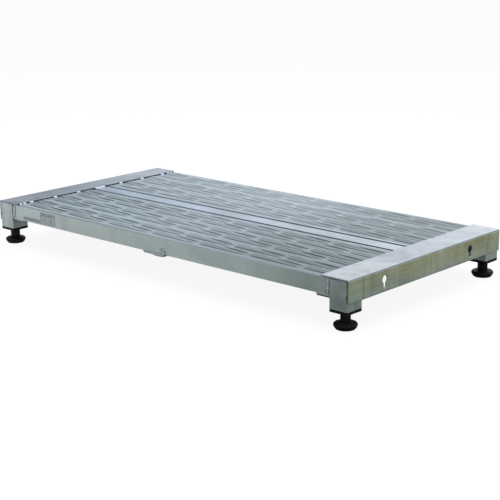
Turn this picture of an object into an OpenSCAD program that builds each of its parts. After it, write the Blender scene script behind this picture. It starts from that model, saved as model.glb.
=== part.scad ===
// Low work platform bench: a treaded plank deck in a welded frame of extrusions, on four screw feet.
// X runs along the bench, Y across it and Z up. The origin is on the floor, under the middle of the deck.

/* [Overall size] */
// Length over the two end beams
bench_length = 1200; // [900:10:1800]
// Depth over the ends of the end beams
bench_depth = 580; // [540:10:760]
// Height of the end beam's top face with the feet screwed right in
bench_height = 116; // [112:1:125]

/* [End beams] */
// Width of the end beam's top flange
flange_width = 75; // [60:1:95]
// Height of the end beam's outer web
web_height = 52; // [46:1:58]
// Thickness of the end beam's flange and web
beam_wall = 3; // [2.5:0.5:4]
// Radius of the end beam's outer top corner
beam_corner = 4; // [2:0.5:5]
// Distance of each keyhole from the middle of the web
keyhole_offset = 165; // [100:5:200]
// Radius of the keyhole's round part
keyhole_radius = 9; // [7:0.5:10]
// Width of the keyhole's slot
keyhole_slot = 9; // [6:0.5:10]
// Depth of the keyhole's centre below the top face
keyhole_drop = 24; // [22:1:26]
// Depth of the slot's lower end below the top face
keyhole_reach = 43.5; // [40:0.5:46]

/* [Legs] */
// Side of the square leg tube
leg_size = 50; // [40:1:60]
// Wall of the leg tube
leg_wall = 3; // [2:0.5:4]
// Corner radius of the leg tube
leg_corner = 2.5; // [1:0.5:2.5]
// Depth of the leg's lower end below the top face
leg_reach = 71; // [68:1:76]

/* [Side rails] */
// Height of the rail's outer face
rail_height = 40; // [34:1:46]
// Wall of the rail
rail_wall = 2.8; // [2:0.2:4]
// Distance of the rail's outer face behind the leg's outer face
rail_inset = 3.5; // [2:0.5:5]
// Width of the thick lip along the rail's top
rail_lip = 4.5; // [4:0.5:6]
// Width of the ledge that carries the outer planks
rail_ledge = 16; // [10:1:24]

/* [Deck] */
// Planks on each side of the centre profile
planks_per_side = 3; // [2:1:4]
// Depth of the plank and centre profiles
plank_depth = 22; // [16:1:26]
// Thickness of the plank's top skin
plank_skin = 2.6; // [2.2:0.1:4]
// Thickness of the upright webs under the skin
plank_web = 2.2; // [1.6:0.1:3]
// Width of the feet under the plank's webs
plank_foot = 8; // [6:0.5:10]
// Width of the smooth band along each side of a plank
band_width = 8.5; // [6:0.5:10]
// Width of the smooth ridge along the middle of a plank
ridge_width = 6; // [4:0.5:10]
// Depth of the treaded rows between the bands and the ridge
row_depth = 1.2; // [0.6:0.1:1.4]
// How far the planks run in under the end beam's flange
plank_lap = 20; // [15:1:22]
// Gap between neighbouring profiles
plank_gap = 0.3; // [0.1:0.1:0.6]
// Width of the centre profile
centre_width = 76; // [70:1:90]
// Width of the flat strip along the centre
strip_width = 40; // [30:1:44]
// Width of the groove on each side of the strip
groove_width = 10; // [6:0.5:10]
// Depth of that groove
groove_depth = 4; // [2:0.5:6]

/* [Bracing] */
// Width of the cross member under the middle of the deck
cross_width = 72; // [60:2:100]
// Wall of the cross member
cross_wall = 3; // [2:0.5:4]
// Width of the flat bar under each end of the planks
support_width = 40; // [30:1:44]
// Thickness of that flat bar
support_thickness = 6; // [4:0.5:8]
// Thickness of the corner gussets
gusset_thickness = 6; // [4:0.5:8]
// How far a gusset runs out past the leg
gusset_reach = 43; // [30:1:60]

/* [Screw feet] */
// Side of the hexagonal hub, across its flats
hub_flats = 22.5; // [18:0.5:26]
// Radius of the pad
pad_radius = 26.5; // [22:0.5:30]
// Height of the pad with its sole
pad_height = 16; // [14:0.5:20]
// Radius of the rubber sole
sole_radius = 22; // [18:0.5:23]
// Radius of the threaded stud
stud_radius = 7.95; // [7.92:0.01:7.98]
// Radius of the hole in the nut
nut_bore = 8; // [8:0.01:8.02]
// Thread pitch, which is also the pitch of the rings cut into the stud
thread_pitch = 2; // [1.5:0.25:3]
// How far the foot unscrews from the rest pose
foot_travel = 20; // [10:1:24]
// Length of stud still in the nut when the foot is right out
thread_hold = 12; // [10:1:16]

/* [Labels] */
// Width of the square-ended rating label
rating_width = 61; // [40:1:80]
// Height of the rating label
rating_height = 31; // [20:1:31]
// Distance of the rating label from the bench's left end
rating_offset = 169; // [168:1:400]
// Width of the narrow strip label
strip_label_width = 70; // [40:1:70]
// Height of the narrow strip label
strip_label_height = 9; // [6:1:31]
// Distance of the strip label from the bench's left end
strip_label_offset = 98; // [80:1:98]
// Distance of both labels above the rail's lower edge
label_rise = 3.5; // [2:0.5:5]

/* [Hidden] */
CORNERS = [
    ["front_left", -1, -1], ["front_right", 1, -1],
    ["back_left", -1, 1], ["back_right", 1, 1]
];
ENDS = [["left", -1], ["right", 1]];
SIDES = [["front", -1], ["back", 1]];
PLANK_NAMES = concat(
    [for (i = [planks_per_side : -1 : 1]) str("deck_plank_front_", i)],
    [for (i = [1 : planks_per_side]) str("deck_plank_back_", i)]
);

ALUMINIUM = [0.70, 0.73, 0.74];
BEAM_COLOUR = [0.66, 0.68, 0.64];
WELD_COLOUR = [0.78, 0.79, 0.82];
STEEL = [0.62, 0.62, 0.60];
BLACK = [0.03, 0.03, 0.03];

$fn = 48;
half_length = bench_length / 2;
half_depth = bench_depth / 2;
deck_top = bench_height - beam_wall;
deck_under = deck_top - plank_depth;
web_bottom = bench_height - web_height;
rail_bottom = deck_top - rail_height;
leg_bottom = bench_height - leg_reach;
keyhole_z = bench_height - keyhole_drop;

// Outer and inner sides of the leg tubes, and their centres
leg_outer_x = half_length - beam_wall;
leg_inner_x = leg_outer_x - leg_size;
leg_x = leg_outer_x - leg_size / 2;
leg_inner_y = half_depth - leg_size;
leg_y = half_depth - leg_size / 2;

// Outer and inner faces of the rails, and the edge where the planks begin
rail_outer_y = half_depth - rail_inset;
rail_inner_y = rail_outer_y - rail_wall;
plank_edge_y = rail_outer_y - rail_lip;

// Planks
flange_inner_x = half_length - flange_width;
plank_half_length = flange_inner_x + plank_lap;
plank_pitch = (plank_edge_y - centre_width / 2) / planks_per_side;
plank_width = plank_pitch - plank_gap;
plank_chamfer = 0.6;
foot_height = 2;

// Bracing
cross_bottom = rail_bottom - gusset_thickness;
ledge_bottom = deck_under - rail_wall;

// Screw feet, at rest
cap_thickness = 6.5;
cap_bottom = leg_bottom - cap_thickness;
pad_top = pad_height;
hub_height = cap_bottom - pad_top;
pad_rim = 3;
sole_height = 5;
sole_inset = 2.5;
pad_bottom = sole_height - sole_inset;
plug_depth = 28;
plug_wall = 2.5;
plug_boss_radius = 17;
plug_play = 0.7;
nut_flats = 24;
nut_height = 20;
stud_top = leg_bottom + foot_travel + thread_hold;
stud_head_radius = 10.5;
stud_head_height = 4.5;
stud_head_play = 0.05;
stud_neck_radius = stud_radius - 1;
thread_depth = 0.9;
thread_start = cap_bottom - 3;
ring_count = floor((stud_top - thread_start) / thread_pitch) - 2;

// Distance of plank i's middle line from the bench's middle
function plank_middle(i) = centre_width / 2 + (i - 0.5) * plank_pitch;

// A hexagon across flats f has its corners at this radius
function hex_radius(f) = f / 2 / cos(30);

// How far each foot's hexagon happens to be turned at rest
function hub_turn(sx, sy) = sx > 0 && sy < 0 ? 13 : sy < 0 ? -12 : 20;

// A rectangle from a low corner to a high corner
module rect(low, high) {
    translate(low) square(high - low);
}

// A square with true arcs at its corners
module round_square(size, r) {
    square([size, size - 2 * r], center = true);
    square([size - 2 * r, size], center = true);
    for (x = [-1, 1], y = [-1, 1]) translate([x, y] * (size / 2 - r)) circle(r);
}

// Turns a profile drawn as [y, z] into a bar along X, from x0 to x1
module bar_x(x0, x1) {
    translate([x0, 0, 0]) rotate([90, 0, 90]) linear_extrude(x1 - x0) children();
}

// Turns a profile drawn as [x, z] into a bar along Y, from y0 to y1
module bar_y(y0, y1) {
    translate([0, y1, 0]) rotate([90, 0, 0]) linear_extrude(y1 - y0) children();
}

module mirror_ends(sx) {
    mirror([sx < 0 ? 1 : 0, 0, 0]) children();
}

module mirror_sides(sy) {
    mirror([0, sy < 0 ? 1 : 0, 0]) children();
}

module at_corner(sx, sy) {
    translate([sx * leg_x, sy * leg_y, 0]) children();
}

// One keyhole, cut along X: a round hole with a slot running down from it
module keyhole_cut() {
    through = beam_wall + 2;
    translate([half_length - beam_wall - 1, 0, 0]) {
        translate([0, 0, keyhole_z]) rotate([0, 90, 0]) cylinder(r = keyhole_radius, h = through);
        slot_end = bench_height - keyhole_reach + keyhole_slot / 2;
        translate([0, 0, slot_end]) rotate([0, 90, 0]) cylinder(d = keyhole_slot, h = through);
        translate([0, -keyhole_slot / 2, slot_end]) cube([through, keyhole_slot, keyhole_z - slot_end]);
    }
}

// An angle section: the flange laps over the deck and the legs, the web closes the end
module end_beam(sx) {
    corner_x = half_length - beam_corner;
    corner_z = bench_height - beam_corner;
    color(BEAM_COLOUR) mirror_ends(sx) difference() {
        bar_y(-half_depth, half_depth) difference() {
            union() {
                rect([flange_inner_x, web_bottom], [half_length, corner_z]);
                rect([flange_inner_x, corner_z], [corner_x, bench_height]);
                translate([corner_x, corner_z]) circle(beam_corner);
            }
            rect([flange_inner_x - 1, web_bottom - 1], [leg_outer_x, deck_top]);
        }
        for (y = [-1, 1]) translate([0, y * keyhole_offset, 0]) keyhole_cut();
    }
}

// The rail's top lip is rounded on the outside, and a ledge inside carries the outer planks
module side_rail(sy) {
    lip_radius = 3;
    lip_height = 5;
    color(ALUMINIUM) mirror_sides(sy) bar_x(-leg_inner_x, leg_inner_x) {
        rect([rail_inner_y, rail_bottom], [rail_outer_y, deck_top - lip_height]);
        rect([plank_edge_y, deck_top - lip_height], [rail_outer_y, deck_top - lip_radius]);
        rect([plank_edge_y, deck_top - lip_radius], [rail_outer_y - lip_radius, deck_top]);
        intersection() {
            translate([rail_outer_y - lip_radius, deck_top - lip_radius]) circle(lip_radius);
            rect([rail_outer_y - lip_radius, deck_top - lip_radius], [rail_outer_y, deck_top]);
        }
        rect([rail_inner_y - rail_ledge, ledge_bottom], [rail_inner_y, deck_under]);
    }
}

// Closes an outline whose right half is given from the top middle round to the bottom middle
function both_halves(half) = concat(half, [for (i = [len(half) - 2 : -1 : 1]) [-half[i][0], half[i][1]]]);

// A plank's section, as [y, z] with the top at z = 0
module plank_section() {
    edge = plank_width / 2;
    polygon(both_halves([
        [0, 0], [ridge_width / 2, 0], [ridge_width / 2 + row_depth, -row_depth],
        [edge - band_width - row_depth, -row_depth], [edge - band_width, 0],
        [edge - plank_chamfer, 0], [edge, -plank_chamfer], [edge, -plank_depth],
        [edge - plank_foot, -plank_depth], [edge - plank_foot, -plank_depth + foot_height],
        [edge - plank_web, -plank_depth + foot_height], [edge - plank_web, -plank_skin - row_depth],
        [plank_web / 2, -plank_skin - row_depth], [plank_web / 2, -plank_depth + foot_height],
        [plank_foot / 2, -plank_depth + foot_height], [plank_foot / 2, -plank_depth], [0, -plank_depth]
    ]));
}

module deck_plank(sy, i) {
    color(ALUMINIUM) bar_x(-plank_half_length, plank_half_length)
        translate([sy * plank_middle(i), deck_top]) plank_section();
}

// The centre profile's section: a flat strip between two grooves and side bands, over three webs
module centre_section() {
    edge = (centre_width - plank_gap) / 2;
    strip = strip_width / 2;
    groove = strip + groove_width;
    skin = plank_skin;
    polygon(both_halves([
        [0, 0], [strip - plank_chamfer, 0], [strip, -plank_chamfer], [strip, -groove_depth],
        [groove, -groove_depth], [groove, -plank_chamfer], [groove + plank_chamfer, 0],
        [edge - plank_chamfer, 0], [edge, -plank_chamfer], [edge, -plank_depth],
        [edge - plank_foot, -plank_depth], [edge - plank_foot, -plank_depth + foot_height],
        [edge - plank_web, -plank_depth + foot_height], [edge - plank_web, -groove_depth - skin],
        [strip - skin, -groove_depth - skin], [strip - skin, -skin],
        [plank_web / 2, -skin], [plank_web / 2, -plank_depth + foot_height],
        [plank_foot / 2, -plank_depth + foot_height], [plank_foot / 2, -plank_depth], [0, -plank_depth]
    ]));
}

module deck_centre_profile() {
    color(ALUMINIUM) bar_x(-plank_half_length, plank_half_length) translate([0, deck_top]) centre_section();
}

// A channel, open at the top, from rail to rail: its ends are notched under the rails' ledges
module cross_member() {
    half = cross_width / 2;
    ledge_edge = rail_inner_y - rail_ledge;
    color(ALUMINIUM) {
        bar_y(-ledge_edge, ledge_edge) for (m = [0, 1]) mirror([m, 0])
            rect([half - cross_wall, ledge_bottom], [half, deck_under]);
        bar_y(-rail_inner_y, rail_inner_y) {
            rect([-half, cross_bottom], [half, cross_bottom + cross_wall]);
            for (m = [0, 1]) mirror([m, 0])
                rect([half - cross_wall, cross_bottom + cross_wall], [half, ledge_bottom]);
        }
    }
}

// A flat bar under the plank ends, between the rails' ledges
module end_support(sx) {
    ledge_edge = rail_inner_y - rail_ledge;
    low = [plank_half_length - support_width, deck_under - support_thickness];
    high = [plank_half_length, deck_under];
    color(ALUMINIUM) mirror_ends(sx) bar_y(-ledge_edge, ledge_edge) rect(low, high);
}

module leg_tube(sx, sy) {
    inner = leg_size - 2 * leg_wall;
    color(BEAM_COLOUR) at_corner(sx, sy) translate([0, 0, leg_bottom])
        linear_extrude(deck_top - leg_bottom) difference() {
            round_square(leg_size, leg_corner);
            square(inner, center = true);
        }
}

// A plate in the angle between rail, leg and end beam, wrapped round the leg's inner corner
module corner_gusset(sx, sy) {
    nose = 6;
    edge_y = rail_outer_y - 1;
    out_x = leg_inner_x - gusset_reach;
    out_y = leg_inner_y - gusset_reach;
    color(ALUMINIUM) mirror_ends(sx) mirror_sides(sy) translate([0, 0, cross_bottom])
        linear_extrude(gusset_thickness) polygon([
            [out_x + nose, edge_y], [leg_inner_x, edge_y], [leg_inner_x, leg_inner_y],
            [leg_outer_x, leg_inner_y], [leg_outer_x, out_y], [leg_inner_x, out_y],
            [out_x, leg_inner_y], [out_x, edge_y - nose]
        ]);
}

// A square plug: a cap under the leg, a skirt inside it and a boss that holds the nut
module leg_plug(sx, sy) {
    inner = leg_size - 2 * leg_wall;
    rib = inner - plug_wall;
    color(BLACK) at_corner(sx, sy) difference() {
        union() {
            translate([0, 0, cap_bottom]) linear_extrude(cap_thickness) round_square(leg_size, leg_corner);
            translate([0, 0, leg_bottom]) linear_extrude(plug_depth) difference() {
                square(inner, center = true);
                square(inner - 2 * plug_wall, center = true);
            }
            translate([0, 0, leg_bottom]) cylinder(r = plug_boss_radius, h = plug_depth);
            for (a = [0, 90]) rotate(a) translate([-rib / 2, -plug_wall / 2, leg_bottom])
                cube([rib, plug_wall, plug_depth]);
        }
        translate([0, 0, cap_bottom - 1])
            cylinder(r = stud_radius + plug_play, h = cap_thickness + plug_depth + 2);
        translate([0, 0, leg_bottom]) cylinder(r = hex_radius(nut_flats), h = nut_height, $fn = 6);
    }
}

module plug_nut(sx, sy) {
    color(STEEL) at_corner(sx, sy) translate([0, 0, leg_bottom]) difference() {
        cylinder(r = hex_radius(nut_flats), h = nut_height, $fn = 6);
        translate([0, 0, -1]) cylinder(r = nut_bore, h = nut_height + 2);
    }
}

// The stud's round head turns in the pad, and rings stand for its thread
module foot_stud(sx, sy) {
    root = stud_radius - thread_depth;
    head_top = pad_top - pad_rim - stud_head_play;
    shoulder = pad_top + 1;
    crest = thread_pitch / 4;
    flank = (thread_pitch - crest) / 2;
    color(STEEL) at_corner(sx, sy) rotate_extrude() {
        rect([0, head_top - stud_head_height], [stud_head_radius - stud_head_play, head_top]);
        rect([0, head_top], [stud_neck_radius, shoulder]);
        rect([0, shoulder], [stud_radius, thread_start]);
        rect([0, thread_start], [root, stud_top]);
        for (i = [0 : ring_count]) translate([0, thread_start + i * thread_pitch]) polygon([
            [root - 0.5, 0], [root, 0], [stud_radius, flank],
            [stud_radius, flank + crest], [root, thread_pitch], [root - 0.5, thread_pitch]
        ]);
    }
}

// A hexagonal hub moulded round the stud, for turning the foot with a spanner
module foot_hub(sx, sy) {
    color(BLACK) at_corner(sx, sy) translate([0, 0, pad_top]) difference() {
        rotate(hub_turn(sx, sy)) cylinder(r = hex_radius(hub_flats), h = hub_height, $fn = 6);
        translate([0, 0, -1]) cylinder(r = stud_radius, h = hub_height + 2);
    }
}

// A round pad with a rolled top edge: it holds the stud's head above the sole
module foot_pad(sx, sy) {
    roll = 5;
    step = 15;
    taper = 3.5;
    skirt = 6;
    crown = 1.5;
    top_radius = stud_radius + 6;
    roll_x = pad_radius - roll;
    roll_z = pad_top - crown - roll;
    color(BLACK) at_corner(sx, sy) rotate_extrude() difference() {
        polygon(concat(
            [[0, pad_bottom], [pad_radius - taper, pad_bottom], [pad_radius, pad_bottom + skirt]],
            [for (a = [0 : step : 90]) [roll_x, roll_z] + roll * [cos(a), sin(a)]],
            [[top_radius, pad_top], [0, pad_top]]
        ));
        rect([-1, pad_top - pad_rim - 1], [stud_neck_radius + stud_head_play, pad_top + 1]);
        rect([-1, sole_height], [stud_head_radius, pad_top - pad_rim]);
        rect([-1, 0], [sole_radius, sole_height]);
    }
}

module foot_sole(sx, sy) {
    edge = 1;
    color(BLACK) at_corner(sx, sy) rotate_extrude() polygon([
        [0, 0], [sole_radius - edge, 0], [sole_radius, edge], [sole_radius, sole_height], [0, sole_height]
    ]);
}

// A quarter-round bead along Z from the origin, in the corner between +X and +Y
module bead(length, r) {
    intersection() {
        cylinder(r = r, h = length);
        cube([r, r, length]);
    }
}

// Upright beads that join each rail end to the side of its leg
module frame_welds() {
    low_end = 5;
    high_end = 8;
    length = rail_height - low_end - high_end;
    color(WELD_COLOUR) for (c = CORNERS) mirror_ends(c[1]) mirror_sides(c[2])
        translate([leg_inner_x, rail_outer_y, rail_bottom + low_end])
            mirror([1, 0, 0]) bead(length, rail_inset);
}

// Beads along the flange's inner edge: a short one on each plank and by each rail, a long one on the strip
module deck_welds() {
    short = 9;
    long = 26;
    near_rail = plank_edge_y - 6;
    places = concat(
        [[0, long], [-near_rail, short], [near_rail, short]],
        [for (s = [-1, 1], i = [1 : planks_per_side]) [s * plank_middle(i), short]]
    );
    color(WELD_COLOUR) for (e = ENDS, p = places) mirror_ends(e[1])
        translate([flange_inner_x, p[0] + p[1] / 2, deck_top])
            rotate([90, 0, 0]) mirror([1, 0, 0]) bead(p[1], beam_wall);
}

// Beads under the rails that hold the cross member's ends
module brace_welds() {
    color(WELD_COLOUR) for (s = [-1, 1]) mirror_sides(s)
        translate([-cross_width / 2, rail_inner_y, rail_bottom])
            rotate([0, 90, 0]) bead(cross_width, rail_wall);
}

module label_plate(offset, width, height) {
    thickness = 0.3;
    translate([offset - half_length, -rail_outer_y - thickness, rail_bottom + label_rise])
        cube([width, thickness, height]);
}

// Blank labels: the front rail's left end carries a tall one and a narrow strip
module rating_label() {
    color([0.72, 0.74, 0.75]) label_plate(rating_offset, rating_width, rating_height);
}

module strip_label() {
    color([0.50, 0.54, 0.56]) label_plate(strip_label_offset, strip_label_width, strip_label_height);
}

for (e = ENDS) {
    end_beam(e[1]);
    end_support(e[1]);
}
for (s = SIDES) {
    side_rail(s[1]);
    for (i = [1 : planks_per_side])
        deck_plank(s[1], i);
}
for (c = CORNERS) {
    leg_tube(c[1], c[2]);
    corner_gusset(c[1], c[2]);
    leg_plug(c[1], c[2]);
    plug_nut(c[1], c[2]);
    foot_stud(c[1], c[2]);
    foot_hub(c[1], c[2]);
    foot_pad(c[1], c[2]);
    foot_sole(c[1], c[2]);
}
deck_centre_profile();
cross_member();
frame_welds();
deck_welds();
brace_welds();
rating_label();
strip_label();
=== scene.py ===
"""Looks for the low work platform bench: treaded planks, welds, screw feet, labels and every material.

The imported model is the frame. X runs along the bench, Y across it and Z up, in metres.
"""
import math
import random

import bpy
import numpy as np
from mathutils import Matrix, Vector


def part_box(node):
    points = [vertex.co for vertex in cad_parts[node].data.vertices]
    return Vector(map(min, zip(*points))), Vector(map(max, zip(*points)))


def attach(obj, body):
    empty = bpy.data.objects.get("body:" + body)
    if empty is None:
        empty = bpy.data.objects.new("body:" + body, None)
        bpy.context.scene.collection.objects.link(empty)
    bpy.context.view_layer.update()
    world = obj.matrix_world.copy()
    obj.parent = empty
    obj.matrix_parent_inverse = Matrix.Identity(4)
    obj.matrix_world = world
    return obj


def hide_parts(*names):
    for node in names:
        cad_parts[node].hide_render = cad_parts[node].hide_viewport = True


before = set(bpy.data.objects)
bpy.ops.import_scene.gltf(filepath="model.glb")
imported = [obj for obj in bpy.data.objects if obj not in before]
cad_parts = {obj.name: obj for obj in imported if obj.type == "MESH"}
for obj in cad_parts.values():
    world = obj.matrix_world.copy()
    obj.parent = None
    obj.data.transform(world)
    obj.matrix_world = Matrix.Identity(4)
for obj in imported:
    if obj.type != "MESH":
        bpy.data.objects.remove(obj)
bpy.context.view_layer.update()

MM = 0.001
CORNERS = ("front_left", "front_right", "back_left", "back_right")
ENDS = ("left", "right")
SIDES = ("front", "back")


# -------------------------------- mesh helpers

def new_piece(name, verts, faces, material, body, smooth_angle):
    """Links a mesh that rides on a body. Edges sharper than smooth_angle, in degrees, stay sharp."""
    mesh = bpy.data.meshes.new(name)
    mesh.from_pydata([tuple(v) for v in verts], [], [tuple(f) for f in faces])
    mesh.validate()
    mesh.materials.append(material)
    mesh.polygons.foreach_set("use_smooth", [True] * len(mesh.polygons))
    mesh.set_sharp_from_angle(angle=math.radians(smooth_angle))
    obj = bpy.data.objects.new(name, mesh)
    bpy.context.scene.collection.objects.link(obj)
    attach(obj, body)
    return obj


class Shell:
    """Gathers several closed shells into one mesh."""

    def __init__(self):
        self.verts = []
        self.faces = []

    def add(self, verts, faces, place=None):
        start = len(self.verts)
        self.verts += [place @ Vector(v) if place else Vector(v) for v in verts]
        self.faces += [[i + start for i in f] for f in faces]


def loft(rings):
    """A closed tube through equal rings of points, each anticlockwise about the direction of travel."""
    count = len(rings[0])
    verts = [p for ring in rings for p in ring]
    faces = []
    for r in range(len(rings) - 1):
        for i in range(count):
            j = (i + 1) % count
            faces.append((r * count + i, r * count + j, (r + 1) * count + j, (r + 1) * count + i))
    faces.append(tuple(range(count - 1, -1, -1)))
    faces.append(tuple((len(rings) - 1) * count + i for i in range(count)))
    return verts, faces


def lathe(outline, sides=72):
    """Turns an outline of (radius, z), which starts and ends on the axis, about Z."""
    verts = [(0, 0, outline[0][1])]
    for radius, z in outline[1:-1]:
        for i in range(sides):
            a = 2 * math.pi * i / sides
            verts.append((radius * math.cos(a), radius * math.sin(a), z))
    verts.append((0, 0, outline[-1][1]))
    rows = len(outline) - 2
    last = len(verts) - 1
    faces = []
    for i in range(sides):
        j = (i + 1) % sides
        faces.append((0, 1 + j, 1 + i))
        faces.append((last, last - sides + i, last - sides + j))
        for k in range(rows - 1):
            a, b = 1 + k * sides, 1 + (k + 1) * sides
            faces.append((a + i, a + j, b + j, b + i))
    return verts, faces


def arc(cx, cz, r, a0, a1, steps):
    """Points of an arc in (radius, z), from angle a0 to a1 in degrees."""
    return [(cx + r * math.cos(math.radians(a0 + (a1 - a0) * i / steps)),
             cz + r * math.sin(math.radians(a0 + (a1 - a0) * i / steps))) for i in range(steps + 1)]


def smooth_step(t):
    t = min(1.0, max(0.0, t))
    return t * t * (3 - 2 * t)


# -------------------------------- node trees

NOISE = (0.3, 0.7)  # most of a noise texture's values
SHADE_SAMPLES = 6
EDGE_TURN = (0.995, 0.80)  # cosines between a face's normal and its rounded one, off an edge and on it


class Nodes:
    """An emptied node tree, with short calls for the nodes used here."""

    def __init__(self, tree):
        self.tree = tree
        tree.nodes.clear()

    def node(self, kind):
        return self.tree.nodes.new("ShaderNode" + kind)

    def link(self, source, target):
        """Joins two sockets, or sets one to a number or a colour."""
        if isinstance(source, (int, float)):
            target.default_value = source
        elif isinstance(source, tuple):
            target.default_value = (*source, 1.0) if len(target.default_value) == 4 else source
        else:
            self.tree.links.new(source, target)

    def math(self, operation, a, b=0.0, clamp=False):
        n = self.node("Math")
        n.operation = operation
        n.use_clamp = clamp
        self.link(a, n.inputs[0])
        self.link(b, n.inputs[1])
        return n.outputs[0]

    def times(self, *values):
        """The product of two or more values."""
        product = values[0]
        for value in values[1:]:
            product = self.math("MULTIPLY", product, value)
        return product

    def size_of(self, value):
        return self.math("ABSOLUTE", value)

    def rest_of(self, share):
        return self.math("SUBTRACT", 1.0, share)

    def axes(self, vector):
        n = self.node("SeparateXYZ")
        self.link(vector, n.inputs[0])
        return n.outputs

    def remap(self, value, low, high, to_low=0.0, to_high=1.0, smooth=False):
        n = self.node("MapRange")
        n.interpolation_type = "SMOOTHSTEP" if smooth else "LINEAR"
        for i, v in enumerate((value, low, high, to_low, to_high)):
            self.link(v, n.inputs[i])
        return n.outputs[0]

    def mix(self, factor, a, b, blend="MIX"):
        n = self.node("Mix")
        n.data_type = "RGBA"
        n.blend_type = blend
        colours = [s for s in n.inputs if s.type == "RGBA"]
        self.link(factor, n.inputs[0])
        self.link(a, colours[0])
        self.link(b, colours[1])
        return next(s for s in n.outputs if s.type == "RGBA")

    def tinted(self, colour, by):
        return self.mix(1.0, colour, by, "MULTIPLY")

    def ramp(self, value, stops):
        """Colours by value, from (position, colour) stops."""
        n = self.node("ValToRGB")
        elements = n.color_ramp.elements
        while len(elements) < len(stops):
            elements.new(0.5)
        for element, (position, colour) in zip(elements, stops):
            element.position = position
            element.color = (*colour, 1)
        self.link(value, n.inputs[0])
        return n.outputs[0]

    def spread(self, value, stops):
        """Colours by value, from (value, colour) stops."""
        first, last = stops[0][0], stops[-1][0]
        shares = [((at - first) / (last - first), colour) for at, colour in stops]
        return self.ramp(self.remap(value, first, last), shares)

    def grey(self, value):
        n = self.node("CombineColor")
        for i in range(3):
            self.link(value, n.inputs[i])
        return n.outputs[0]

    def camera_ray(self):
        """1 for what the camera sees straight on and 0 for what mirrors and lights see."""
        return self.node("LightPath").outputs["Is Camera Ray"]


class Surface(Nodes):
    """A new material with one Principled shader, and texture calls in the frame's own coordinates."""

    def __init__(self, name):
        self.material = bpy.data.materials.new(name)
        self.material.use_nodes = True
        super().__init__(self.material.node_tree)
        self.shader = self.node("BsdfPrincipled")
        self.link(self.shader.outputs[0], self.node("OutputMaterial").inputs[0])
        self.place = self.node("TexCoord").outputs["Object"]
        self.normal = self.node("NewGeometry").outputs["Normal"]

    def feed(self, name, value):
        """Sets one of the shader's inputs."""
        self.link(value, self.shader.inputs[name])

    def noise(self, scale, detail=3.0, roughness=0.5, distortion=0.0):
        """Noise with its own scale along each axis, mostly within NOISE."""
        mapping = self.node("Mapping")
        self.link(self.place, mapping.inputs["Vector"])
        mapping.inputs["Scale"].default_value = scale
        n = self.node("TexNoise")
        self.link(mapping.outputs[0], n.inputs["Vector"])
        plan = {"Scale": 1.0, "Detail": detail, "Roughness": roughness, "Distortion": distortion}
        for name, value in plan.items():
            n.inputs[name].default_value = value
        return n.outputs["Fac"]

    def occlusion(self, distance):
        n = self.node("AmbientOcclusion")
        n.samples = SHADE_SAMPLES
        n.inputs["Distance"].default_value = distance
        return n.outputs["AO"]

    def edges(self, radius):
        """1 on sharp edges and 0 on flat faces."""
        bevel = self.node("Bevel")
        bevel.samples = SHADE_SAMPLES
        bevel.inputs["Radius"].default_value = radius
        dot = self.node("VectorMath")
        dot.operation = "DOT_PRODUCT"
        self.link(bevel.outputs[0], dot.inputs[0])
        self.link(self.normal, dot.inputs[1])
        return self.remap(dot.outputs["Value"], *EDGE_TURN), bevel.outputs[0]

    def bump(self, height, strength, distance, normal=None):
        n = self.node("Bump")
        n.inputs["Strength"].default_value = strength
        n.inputs["Distance"].default_value = distance
        self.link(height, n.inputs["Height"])
        if normal is not None:
            self.link(normal, n.inputs["Normal"])
        return n.outputs[0]


# -------------------------------- metals

# Colours of wear, smoke, heat and plating, and of painted shade
WORN_EDGE = (0.93, 0.94, 0.97)
UPPER_EDGE_SHADE = (0.36, 0.41, 0.46)
RAIL_EDGE_SHADE = (0.50, 0.55, 0.60)
BEND_SHADE = (0.12, 0.175, 0.19)
SMEAR = (0.30, 0.32, 0.26)
HEAT_LINE = (0.34, 0.33, 0.22)
PLATE_FOOT_SHADE = (0.07, 0.08, 0.08)
INNER_EDGE_SHADE = (0.05, 0.06, 0.07)
STEPPED_ON = (0.88, 0.89, 0.91)
WELD_SMOKE_AND_SHADE = (0.20, 0.21, 0.22)
ZINC_PALE, ZINC_DARK, ZINC_EDGE = (0.62, 0.62, 0.60), (0.46, 0.47, 0.49), (0.85, 0.85, 0.85)

# How dark the painted shade in the planks' and the centre profile's sunken parts is: (depth, colour
# multiplier)
TREAD_SHADE = ((0.0, 1.0), (0.1 * MM, 0.93), (0.4 * MM, 0.66), (0.8 * MM, 0.30), (1.2 * MM, 0.18))
GROOVE_SHADE = ((0.0, 1.0), (0.3 * MM, 0.90), (1.2 * MM, 0.38), (4.0 * MM, 0.28))
# How strong that painted shade is along the planks: (distance along X, share)
TREAD_SHADE_ALONG = ((-0.55, 1.0), (-0.30, 0.95), (0.0, 0.78), (0.30, 1.0), (0.55, 1.0))
# Dust and painted shade in the centre profile's grooves, darker towards the right: (distance along X,
# colour)
DUST_AND_SHADE = ((-0.55, (0.28, 0.34, 0.355)), (0.0, (0.20, 0.25, 0.26)), (0.50, (0.10, 0.12, 0.115)))


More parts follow.
